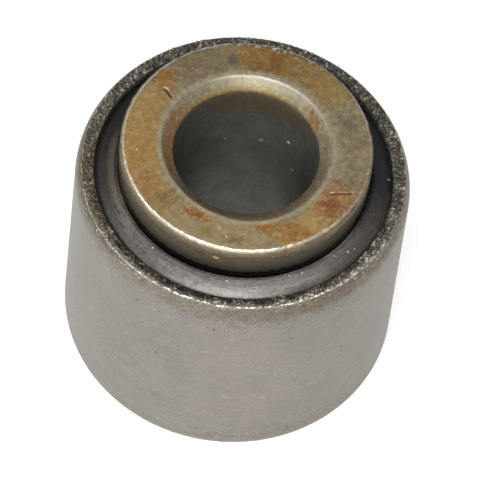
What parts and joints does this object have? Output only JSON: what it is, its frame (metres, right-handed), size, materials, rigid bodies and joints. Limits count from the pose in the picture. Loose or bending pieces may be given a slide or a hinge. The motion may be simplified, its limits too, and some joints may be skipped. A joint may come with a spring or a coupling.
{
  "type": "rubber metal bush",
  "caption": "Cylindrical rubber metal bush: a thick steel bolt sleeve stands proud of both ends of a steel tube, with a bonded rubber ring between them.",
  "frame": {"origin": "on the bore axis, halfway along the bush", "axes": "+Z along the bore axis, towards one end; both ends are alike, and X and Y are any pair across it"},
  "size_m": [0.056, 0.056, 0.058],
  "materials": {
    "inner_steel": "turned steel, dull, with light rust",
    "outer_steel": "satin drawn tube with rough sawn rims",
    "rubber": "moulded, smooth with a dull sheen"
  },
  "bodies": {
    "root": {"inner_sleeve": "inner_steel", "outer_sleeve": "outer_steel", "rubber_ring": "rubber"}
  },
  "joints": []
}
